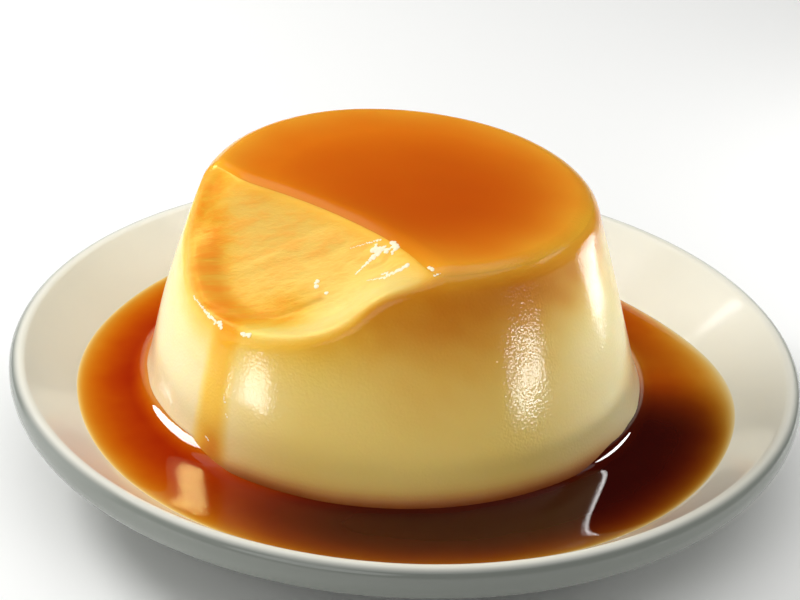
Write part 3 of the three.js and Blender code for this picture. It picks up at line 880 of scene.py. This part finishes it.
spokes, _ = even_spokes(LAYER_COLUMNS)
edge_reach, _ = halve(
    0, 2 * BASE_RADIUS, LAYER_COLUMNS,
    lambda reach: bitten_distance(on_plane(LAYER_MIDDLE + spokes * reach[:, None], 0.0)) < 0,
)
shares = np.sin(np.linspace(math.pi / 2, 0, LAYER_RINGS + 1)[1:-1])
middle_top = cast(
    bitten_distance, on_plane(LAYER_MIDDLE, IN_LAYER), on_plane(LAYER_MIDDLE[None], ABOVE_LAYER)
)
layer_rings = [
    on_plane(LAYER_MIDDLE[None], 0.0),
    *(on_plane(layer_foot(share), 0.0) for share in UNDERSIDE_SHARES),
    *(layer_face(layer_foot(share)) for share in shares),
    middle_top,
]
layer_points = np.concatenate(layer_rings)

# How far the layer's colours reach in from its rim and from the cut, and the way to its back left.
RIM_REACH = 5.6
RIM_WAVE = 0.8
RING_REACH = 13
RING_BACK_LEFT = 0.7
CUT_SHOWS = 1.6
BACK_LEFT = np.array([-0.75, 0.66, 0.0])
BACK_LEFT_FROM = -30
BACK_LEFT_FULL = 35


def layer_masks(points):
    """How near the moulded rim and the spoon's cut are, and how far the layer's face has been cut."""
    bearing = np.arctan2(points[..., 1], points[..., 0] - LEAN)
    from_rim = wall_radius(FLAN_TOP, bearing) - np.hypot(points[..., 0] - LEAN, points[..., 1])
    back_left = smoothstep(BACK_LEFT_FROM, BACK_LEFT_FULL, points @ BACK_LEFT)
    return {
        "rim": fade(from_rim + RIM_WAVE * lumps(points, size=16, seed=31), RIM_REACH, power=1.3),
        "ring": np.clip(fade(from_rim, RING_REACH) + RING_BACK_LEFT * back_left, 0, 1),
        "shown": fade(scoop_distance(points), CUT_SHOWS, power=1),
        "cut": cut_share(points),
    }


# Custard soaked with caramel as it baked: deep orange in the middle, amber where it thins out to the rim.
SOAKED_DEEP = linear("#C64C02")
SOAKED_MIDDLE = linear("#F6820D")
SOAKED_ROUGHNESS = 0.17
SOAKED_CLOUD = 12 * MM
# The pebble is faint in the middle of the top and stands twice as high on its rim as on the wall.
MIDDLE_PEBBLE_HEIGHT = 0.15 * PEBBLE_HEIGHT
RIM_PEBBLE_HEIGHT = 2.0 * PEBBLE_HEIGHT
RIM_PEBBLED_FROM = 0.5
LIGHT_IN_SOAKED = 0.25
LIGHT_REACH_IN_SOAKED = (1.0, 0.4, 0.15)
SOAKED_DEPTH_OF_LIGHT = 0.5 * MM

layer_marks = layer_masks(layer_points)
soaked_caramel, tree, shader, place, masks = new_material("custard_soaked_with_caramel", layer_marks)
cloud = add_node(tree, "TexNoise", {
    "Vector": place, "Scale": 1 / SOAKED_CLOUD, "Detail": 4.0,
}).outputs["Fac"]
colour = SOAKED_DEEP
coats = [("ring", SOAKED_MIDDLE, 0.7), ("shown", CARAMEL_AMBER, 0.45), ("rim", RIM_AMBER, 1.0)]
for mask, laid, most in coats:
    uneven = add_node(tree, "MapRange", {
        "Value": cloud, "From Min": CLOUD_FROM, "From Max": CLOUD_FULL,
        "To Min": CLOUD_LEAST * most, "To Max": most,
    }).outputs["Result"]
    share = add_node(tree, "Math", {0: masks[mask], 1: uneven}, operation="MULTIPLY").outputs[0]
    colour = add_node(tree, "Mix", {
        "Factor": share, "A": colour, "B": laid,
    }, data_type="RGBA").outputs["Result"]
pebble = add_node(tree, "TexNoise", {"Vector": place, "Scale": 1 / PEBBLE, "Detail": 0.5}).outputs["Fac"]
pebble_height = add_node(tree, "MapRange", {
    "Value": masks["rim"], "From Min": RIM_PEBBLED_FROM,
    "To Min": MIDDLE_PEBBLE_HEIGHT, "To Max": RIM_PEBBLE_HEIGHT,
}).outputs["Result"]
pebbled = add_node(tree, "Bump", {"Height": pebble, "Distance": pebble_height}).outputs["Normal"]
tree.links.new(colour, shader.inputs["Base Color"])
tree.links.new(pebbled, shader.inputs["Normal"])
shader.inputs["Roughness"].default_value = SOAKED_ROUGHNESS
shader.inputs["IOR"].default_value = CUSTARD_IOR
shader.inputs["Subsurface Weight"].default_value = LIGHT_IN_SOAKED
shader.inputs["Subsurface Radius"].default_value = LIGHT_REACH_IN_SOAKED
shader.inputs["Subsurface Scale"].default_value = SOAKED_DEPTH_OF_LIGHT

soaked_layer = make_piece(
    "soaked_layer", [[ring + FLAN for ring in layer_rings]], soaked_caramel, layer_marks
)
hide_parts("caramel_top")
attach(soaked_layer, "root")

# ------------------------------------------------------------------------------------------ Runny caramel
# Caramel that let go of the mould with the custard and ran down into the well. It is level, but for the
# meniscus that creeps up the custard's foot and the thin margin that it left on the saucer's wall.
CLIMB = 2.3
CLIMB_REACH = 1.35
CREEP = 0.05
CREEP_REACH = 0.2
EDGE_CLIMB = 0.45
EDGE_REACH = 1.6
EDGE_WAVES = [(1, 0.3, 2.0), (3, 0.12, 0.4), (8, 0.08, 1.9)]
RETREAT = 1.9
RETREAT_BEARING = math.radians(42)
RETREAT_HALF_ARC = math.radians(30)
POOL_COLUMNS = 420
OVERLAP = 0.05
# Where the custard's foot is nearly dry, and where the meniscus is smaller, in degrees.
DRY_BEARING = -85
DRY_ARC = (57, 40)
DRY_SHARE = 0.98
SMALLER_FROM = (-80, -40)
SMALLER_TO = (175, 150)
SMALLER_SHARE = 0.35
# How far over the custard's base the pool's underside starts, how far its inner side lies within the
# custard's, and how thick its thinnest film is.
UNDERSIDE_LIFT = 0.4
SIDE_INSET = 0.2
LEAST_FILM = 0.01
BED_RINGS = 20
SIDE_RINGS = 8
# The rings of its face lie closest at the custard and at the margin, where it curves.
FACE_SHARES = np.concatenate([1 - np.geomspace(0.006, 0.45, 26), np.geomspace(0.55, 0.002, 40), [0.0]])


def first_reach(directions, near, far, reached):
    """The first distance from the custard's axis, along each direction, at which a test is met."""
    return halve(near, far, len(directions), lambda reach: ~reached(directions * reach[:, None]))[1]


def bed_height(points):
    return well_height(np.hypot(points[..., 0] + FLAN[0], points[..., 1] + FLAN[1]))


def saucer_bearing(points):
    return np.arctan2(points[..., 1] + FLAN[1], points[..., 0] + FLAN[0])


def edge_level(points):
    """How high the pool's margin would stand on the saucer's wall."""
    bearing = saucer_bearing(points)
    waves = sum(height * np.sin(lobes * bearing + phase) for lobes, height, phase in EDGE_WAVES)
    retreat = RETREAT * fade(np.abs(bearing - RETREAT_BEARING), RETREAT_HALF_ARC)
    return POOL_LEVEL + EDGE_CLIMB + waves - retreat


pool_spokes, pool_bearings = even_spokes(POOL_COLUMNS)
edge_radius = first_reach(pool_spokes, BASE_RADIUS, SAUCER_RADIUS, lambda p: bed_height(p) > edge_level(p))
edge_rise = edge_level(pool_spokes * edge_radius[:, None]) - POOL_LEVEL


def custard_side(height):
    """How far out the custard's side is at a height, along each spoke."""
    return first_reach(
        pool_spokes, BASE_RADIUS - 2 * BASE_ROUND, SAUCER_RADIUS,
        lambda p: flan_distance(with_height(p, height)) > -OVERLAP,
    )


degrees = np.degrees(pool_bearings)
signed_degrees = (degrees + 180) % 360 - 180
wetting = 1 - DRY_SHARE * smoothstep(*DRY_ARC, turned_from(degrees, DRY_BEARING))
smaller = smoothstep(*SMALLER_FROM, signed_degrees) * smoothstep(*SMALLER_TO, signed_degrees)
size = 1 - SMALLER_SHARE * smaller
inner_radius = custard_side(POOL_LEVEL + wetting * size * CLIMB)
pool_rings = []
bed_inner = custard_side(FLAN_BASE + UNDERSIDE_LIFT)
for share in np.linspace(0, 1, BED_RINGS):
    at = pool_spokes * (bed_inner + (edge_radius - bed_inner) * share)[:, None]
    pool_rings.append(with_height(at, bed_height(at) - OVERLAP * (share < 1)))
width = edge_radius - inner_radius
for share in FACE_SHARES:
    out = width * share
    surface = (
        POOL_LEVEL
        + wetting * size * CLIMB * np.exp(-out / (size * CLIMB_REACH))
        + wetting * CREEP * np.exp(-out / CREEP_REACH)
        + edge_rise * np.exp(-(width - out) / EDGE_REACH)
    )
    at = pool_spokes * (inner_radius + out)[:, None]
    pool_rings.append(with_height(at, np.maximum(surface, bed_height(at) + LEAST_FILM)))
top_of_creep = POOL_LEVEL + wetting * (size * CLIMB + CREEP)
pool_rings[-1] = with_height(pool_spokes * custard_side(top_of_creep)[:, None], top_of_creep)
for share in np.linspace(0, 1, SIDE_RINGS)[1:-1]:
    height = POOL_LEVEL + (FLAN_BASE + UNDERSIDE_LIFT - POOL_LEVEL) * share
    pool_rings.append(with_height(pool_spokes * (custard_side(height) - SIDE_INSET)[:, None], height))
pool_points = np.concatenate(pool_rings)

# The millimetres of caramel that light seems to go through, by the custard and away from it. Bearings
# and arcs are in degrees. Those with two values are where something starts and where it is full.
PATH_AT_CUSTARD = 1.3
# Painted shade: the path is longer by the custard's front, where its shadow falls.
PATH_MORE_FOR_FRONT_SHADE = 2.2
PATH_AWAY = 3.5
PATH_GROWS = 0.4
FRONT_FROM = (-152, -122)
FRONT_TO = (30, 0)
# Painted shade over the pool's front and right, where the custard's shadow falls, between these bearings.
PAINTED_SHADE_FROM = (-140, -90)
PAINTED_SHADE_TO = (12, -14)
PATH_MORE_IN_PAINTED_SHADE = 0.3
THIN_BEARING = 18
THIN_ARC = 26
THIN_LESS = 0.45
MARGIN_PALE_BEARING = 25
MARGIN_PALE_ARC = 42
MARGIN_STARTS = (4, 10)
MARGIN_MORE = 2.0
MARGIN_PATH = 0.8


def caramel_masks(points):
    """How much caramel light goes through, and the painted shade where the custard's shadow falls on the
    pool.
    """
    depth = np.maximum(points[..., 2] - bed_height(points), 0)
    from_custard = np.maximum(flan_distance(points), 0)
    bearing = np.degrees(saucer_bearing(points))
    front = smoothstep(*FRONT_FROM, bearing) * smoothstep(*FRONT_TO, bearing)
    # The longer path at the custard's front is painted shade.
    at_custard = PATH_AT_CUSTARD + PATH_MORE_FOR_FRONT_SHADE * front
    away = (PATH_AWAY - at_custard) * (1 - np.exp(-from_custard)) + PATH_GROWS * from_custard
    path = np.minimum(depth, at_custard + away)
    # Painted shade, where the custard's shadow falls on the pool.
    painted_shade = smoothstep(*PAINTED_SHADE_FROM, bearing) * smoothstep(*PAINTED_SHADE_TO, bearing)
    thin = 1 - THIN_LESS * fade(np.abs(bearing - THIN_BEARING), THIN_ARC)
    pale = fade(np.abs(bearing - MARGIN_PALE_BEARING), MARGIN_PALE_ARC)
    margin = MARGIN_MORE * (1 - pale) * smoothstep(*MARGIN_STARTS, from_custard)
    path = path * (1 + margin * np.exp(-path / MARGIN_PATH))
    return {"path": path * (1 + PATH_MORE_IN_PAINTED_SHADE * painted_shade) * thin, "painted_shade_path": path * painted_shade}


# Caramel let down with water: clear and syrupy, with a mirror-like face. Its colour comes from the depth
# that light goes through: amber where it is a film, red-brown at 2 mm, and near black in the well. It is
# darker again in front and to the right, by the custard, as painted shade.
SAUCER_SEEN_THROUGH = linear("#EAD9AE")
LEFT_BY_ONE_MM = (0.82, 0.46, 0.1)
# What each millimetre of painted shade leaves of the light.
LEFT_BY_PAINTED_SHADE = (0.63, 0.63, 0.63)
CARAMEL_IOR = 1.4
CARAMEL_ROUGHNESS = 0.025
CARAMEL_SPECULAR = 0.33
CARAMEL_CLOUD = 9 * MM
CARAMEL_UNEVEN = 0.2

pool_marks = caramel_masks(pool_points)
runny_caramel, tree, shader, place, masks = new_material("caramel_let_down_with_water", pool_marks)
cloud = add_node(tree, "TexNoise", {
    "Vector": place, "Scale": 1 / CARAMEL_CLOUD, "Detail": 3.0,
}).outputs["Fac"]
strength = add_node(tree, "MapRange", {
    "Value": cloud, "To Min": 1 - CARAMEL_UNEVEN, "To Max": 1 + CARAMEL_UNEVEN,
}).outputs["Result"]
path = add_node(tree, "Math", {0: masks["path"], 1: strength}, operation="MULTIPLY").outputs[0]
colour = SAUCER_SEEN_THROUGH[:3]
# The second pass lays the painted shade.
for left_by_one, length in ((LEFT_BY_ONE_MM, path), (LEFT_BY_PAINTED_SHADE, masks["painted_shade_path"])):
    left = add_node(tree, "VectorMath", {0: left_by_one, 1: length}, operation="POWER").outputs["Vector"]
    colour = add_node(tree, "VectorMath", {0: colour, 1: left}, operation="MULTIPLY").outputs["Vector"]
tree.links.new(colour, shader.inputs["Base Color"])
shader.inputs["Roughness"].default_value = CARAMEL_ROUGHNESS
shader.inputs["IOR"].default_value = CARAMEL_IOR
shader.inputs["Specular IOR Level"].default_value = CARAMEL_SPECULAR

pool = make_piece(
    "caramel_pool_sauce", [[ring + FLAN for ring in pool_rings]], runny_caramel, pool_marks, joined=True
)
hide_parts("caramel_pool")
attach(pool, "root")

# --------------------------------------------------------------------------------- Table, lights and camera
# A matt white laminate table top in a dim studio, lit by softboxes. It is only there for the object to
# stand on, and a camera looks down at the object from its front.
TABLE_HALF = 6000.0
LAMINATE_ROUGHNESS = 0.7

laminate, _, shader, _, _ = new_material("white_laminate")
shader.inputs["Base Color"].default_value = linear("#F4F4F2")
shader.inputs["Roughness"].default_value = LAMINATE_ROUGHNESS
table_mesh = bpy.data.meshes.new("table")
corners = [(x * TABLE_HALF, y * TABLE_HALF) for x, y in ((-1, -1), (1, -1), (1, 1), (-1, 1))]
table_mesh.from_pydata([(x * MM, y * MM, 0.0) for x, y in corners], [], [(0, 1, 2, 3)])
table_mesh.materials.append(laminate)
table = bpy.data.objects.new("table", table_mesh)
bpy.context.scene.collection.objects.link(table)

# Bearing and elevation as seen from the custard, distance, width, height (mm), turn about its own axis,
# power (W), and the pieces that it shines on, if not on all. A wash is a softbox that only lights matt
# surfaces, and a glint is one that only shows in wet or glazed ones.
SOFTBOXES = {
    "sky_panel": (90, 90, 2500, 4000, 4000, 0, 52.0, ()),
    "wash_key": (150, 34, 480, 230, 130, 0, 1.4, ()),
    "side_left": (172, 14, 480, 380, 300, 0, 0.32, ()),
    "wash_left": (-141, -2, 200, 66, 30, 0, 0.062, ()),
    "wash_right": (-26, -1, 230, 80, 16, 0, 0.08, ()),
    "wash_edge": (29, 6, 220, 84, 62, 0, 0.16, ()),
    "front_fill": (-112, 27, 900, 700, 500, 0, 1.4, ()),
    "glint_wall_left": (-147, -6, 150, 40, 26, 0, 0.038, (custard,)),
    "glint_wall_right": (-26, -2.1, 230, 74, 19, 0, 0.076, (custard,)),
    "glint_wall_edge": (27, 2, 150, 56, 70, 0, 0.062, (custard,)),
    "glint_rim": (20, 38, 480, 240, 60, 0, 0.09, (custard, soaked_layer)),
    "glint_foot_left": (172, 20, 480, 440, 240, 0, 9.0, (pool,)),
    "glint_foot_right": (32, 35, 480, 230, 110, -51, 3.1, (pool,)),
    "glint_back_right": (64, 36, 480, 50, 50, 0, 0.2, (custard,)),
    "glint_in_pool": (150, 40, 480, 150, 90, 20, 2.3, (custard,)),
    "glint_saucer": (130, 34.5, 480, 34, 16, 0, 0.009, (saucer,)),
}
LIGHTS_AIM_AT = Vector((0, 0, 0.025))
for name, (bearing, elevation, distance, wide, high, turned_by, power, pieces) in SOFTBOXES.items():
    light = bpy.data.lights.new(name, "AREA")
    light.shape = "ELLIPSE"
    light.size, light.size_y, light.energy = wide * MM, high * MM, power
    softbox = bpy.data.objects.new(name, light)
    bearing, elevation = math.radians(bearing), math.radians(elevation)
    towards = Vector((
        math.cos(bearing) * math.cos(elevation), math.sin(bearing) * math.cos(elevation), math.sin(elevation)
    ))
    softbox.location = LIGHTS_AIM_AT + towards * distance * MM
    facing = towards.to_track_quat("Z", "Y") @ Quaternion((0, 0, 1), math.radians(turned_by))
    softbox.rotation_euler = facing.to_euler()
    softbox.visible_camera = False
    bpy.context.scene.collection.objects.link(softbox)
    softbox.visible_glossy = not name.startswith("wash")
    softbox.visible_diffuse = not name.startswith("glint")
    if pieces:
        softbox.light_linking.receiver_collection = bpy.data.collections.new(name + "_pieces")
        for piece in pieces:
            softbox.light_linking.receiver_collection.objects.link(piece)
# This glint is a warm yellow. The other lights are white.
bpy.data.lights["glint_in_pool"].color = linear("#FFEC90")[:3]

ROOM_STRENGTH = 0.04

room = bpy.data.worlds.new("dim_studio")
room.use_nodes = True
room.node_tree.nodes["Background"].inputs["Color"].default_value = linear("#F2F4F8")
room.node_tree.nodes["Background"].inputs["Strength"].default_value = ROOM_STRENGTH
bpy.context.scene.world = room
bpy.context.scene.view_settings.view_transform = "Standard"

CAMERA_TILT = math.radians(29.47)
CAMERA_ROLL = math.radians(3.29)
CAMERA_DISTANCE = 0.5
CAMERA_AIMS_AT = Vector((0, 0, 0.02))
SENSOR_WIDTH = 36
PICTURE_WIDTH = 800
PICTURE_HEIGHT = 600
FOCAL_PIXELS = 2820.5
MIDDLE_PIXEL = (407.04, 346.53)
ahead = Vector((0, math.cos(CAMERA_TILT), -math.sin(CAMERA_TILT)))
level_right = Vector((1, 0, 0))
level_up = level_right.cross(ahead)
right = math.cos(CAMERA_ROLL) * level_right + math.sin(CAMERA_ROLL) * level_up
up = -math.sin(CAMERA_ROLL) * level_right + math.cos(CAMERA_ROLL) * level_up
lens = bpy.data.cameras.new("camera")
lens.sensor_width = SENSOR_WIDTH
lens.lens = FOCAL_PIXELS / PICTURE_WIDTH * SENSOR_WIDTH
lens.shift_x = (PICTURE_WIDTH / 2 - MIDDLE_PIXEL[0]) / PICTURE_WIDTH
lens.shift_y = (MIDDLE_PIXEL[1] - PICTURE_HEIGHT / 2) / PICTURE_WIDTH
camera = bpy.data.objects.new("camera", lens)
turn_of_camera = Matrix((right, up, -ahead)).transposed().to_4x4()
camera.matrix_world = Matrix.Translation(CAMERA_AIMS_AT - CAMERA_DISTANCE * ahead) @ turn_of_camera
bpy.context.scene.collection.objects.link(camera)
bpy.context.scene.camera = camera
